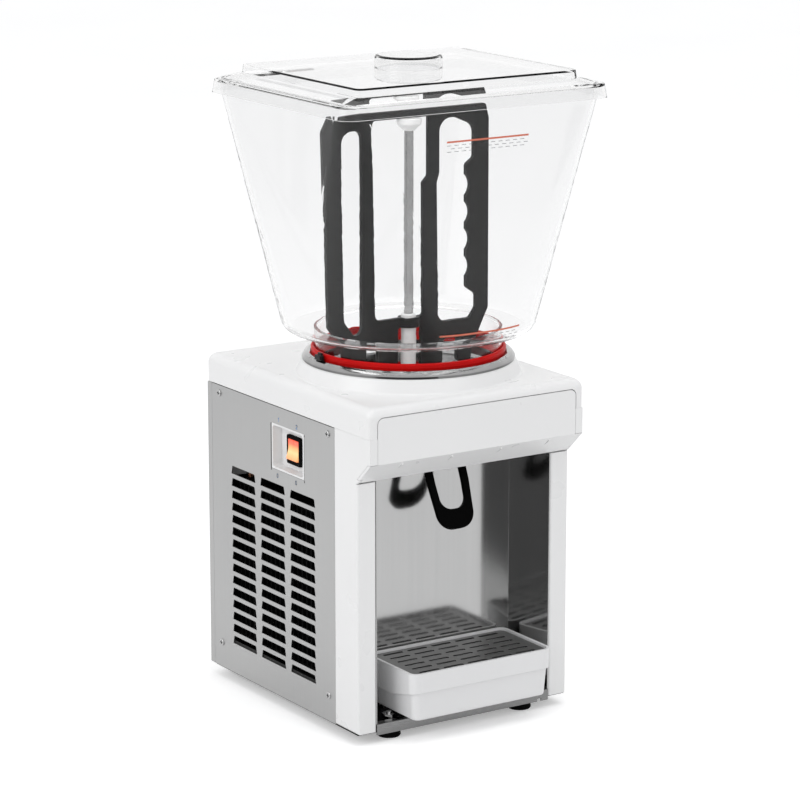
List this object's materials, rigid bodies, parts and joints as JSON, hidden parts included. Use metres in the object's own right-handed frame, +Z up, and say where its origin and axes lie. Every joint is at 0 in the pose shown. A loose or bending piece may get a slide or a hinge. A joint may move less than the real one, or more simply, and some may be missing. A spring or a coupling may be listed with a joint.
{
  "type": "chilled drink dispenser",
  "caption": "Countertop chilled drink dispenser: louvred cabinet, clear square-topped tank with lid and stirrer, push lever over a drip tray with grille.",
  "frame": {"origin": "centre of the overall footprint box on the surface the feet stand on", "axes": "+Z up, front of the machine faces -Y, switch side faces -X"},
  "size_m": [0.3232, 0.3416, 0.6885],
  "materials": {
    "white_plastic": "white moulded plastic, light gloss",
    "stainless": "brushed stainless sheet",
    "polished_steel": "polished stainless",
    "zinc_steel": "zinc-plated steel",
    "black_paint": "black paint",
    "black_fin": "black-coated aluminium fins",
    "black_plastic": "black moulded plastic, satin",
    "black_rubber": "black rubber",
    "red_silicone": "red silicone",
    "clear_plastic": "clear polycarbonate",
    "foam": "foam",
    "copper": "copper tube",
    "lit_rocker": "translucent red-orange, lit from inside"
  },
  "bodies": {
    "cabinet": {"base_pan": "black_paint", "front_bar": "stainless", "rubber_feet": "black_rubber", "foot_studs": "zinc_steel", "front_frame": "white_plastic", "front_panel": "white_plastic", "left_panel": "stainless", "right_panel": "stainless", "rear_panel": "stainless", "deck_plate": "zinc_steel", "panel_screws": "zinc_steel", "recess_liner": "stainless", "tray_rails": "stainless", "hood": "white_plastic", "cooling_pan": "polished_steel", "pan_gasket": "red_silicone", "locating_clip": "black_plastic", "pan_insulation": "foam", "evaporator_coil": "copper", "outlet_tube": "polished_steel", "drive_post": "white_plastic", "stirrer_motor": "black_paint", "lever_pin": "polished_steel", "lever_spring": "polished_steel", "valve_body": "white_plastic", "switch_well": "white_plastic", "switch_housing": "black_plastic", "condenser": "black_fin", "fan_shroud": "black_plastic", "fan_motor": "black_paint", "compressor": "black_paint", "compressor_mounts": "black_rubber", "terminal_box": "black_plastic", "filter_drier": "copper", "discharge_line": "copper", "suction_line": "copper", "thermostat": "black_plastic", "relay_box": "black_plastic", "power_gland": "black_plastic"},
    "drive": {"drive_coupling": "white_plastic"},
    "stirrer": {"drive_rod": "polished_steel", "rod_cap": "white_plastic", "stirrer_paddle": "black_plastic"},
    "tank": {"tank": "clear_plastic"},
    "lid": {"lid": "clear_plastic"},
    "tray": {"drip_tray": "white_plastic"},
    "grille": {"drip_grille": "stainless"},
    "lever": {"push_lever": "black_plastic"},
    "valve": {"valve_stem": "polished_steel"},
    "rocker_front": {"rocker_front": "lit_rocker"},
    "rocker_rear": {"rocker_rear": "lit_rocker"},
    "fan": {"fan_rotor": "black_plastic"}
  },
  "joints": [
    {"name": "tank_lift", "type": "slide", "parent": "cabinet", "child": "tank", "axis": [0, 0, 1], "range_m": [0, 0.26]},
    {"name": "lid_lift", "type": "slide", "parent": "tank", "child": "lid", "axis": [0, 0, 1], "range_m": [0, 0.12]},
    {"name": "stirrer_turn", "type": "hinge", "parent": "cabinet", "child": "drive", "pos_m": [0, -0.03325, 0.3125], "axis": [0, 0, 1], "continuous": true},
    {"name": "stirrer_lift", "type": "slide", "parent": "drive", "child": "stirrer", "axis": [0, 0, 1], "range_m": [0, 0.26]},
    {"name": "tray_slide", "type": "slide", "parent": "cabinet", "child": "tray", "axis": [0, -1, 0], "range_m": [0, 0.09]},
    {"name": "grille_lift", "type": "slide", "parent": "tray", "child": "grille", "axis": [0, 0, 1], "range_m": [0, 0.04]},
    {"name": "lever_push", "type": "hinge", "parent": "cabinet", "child": "lever", "pos_m": [0, -0.08825, 0.3005], "axis": [1, 0, 0], "range_deg": [0, 14], "stiffness_Nm_per_rad": 0.3, "springref_deg": -8.59},
    {"name": "valve_open", "type": "slide", "parent": "cabinet", "child": "valve", "axis": [0, 0, -1], "range_m": [0, 0.0026]},
    {"name": "rocker_front_tilt", "type": "hinge", "parent": "cabinet", "child": "rocker_front", "pos_m": [-0.1179, -0.00625, 0.2815], "axis": [0, 1, 0], "range_deg": [-16, 0]},
    {"name": "rocker_rear_tilt", "type": "hinge", "parent": "cabinet", "child": "rocker_rear", "pos_m": [-0.1179, 0.00375, 0.2815], "axis": [0, 1, 0], "range_deg": [-16, 0]},
    {"name": "fan_spin", "type": "hinge", "parent": "cabinet", "child": "fan", "pos_m": [-0.084, 0.03575, 0.14], "axis": [1, 0, 0], "continuous": true}
  ],
  "couplings": [
    {"joint": "stirrer_lift", "follows": "tank_lift", "ratio": 1},
    {"joint": "valve_open", "follows": "lever_push", "m_per_rad": 0.01}
  ]
}
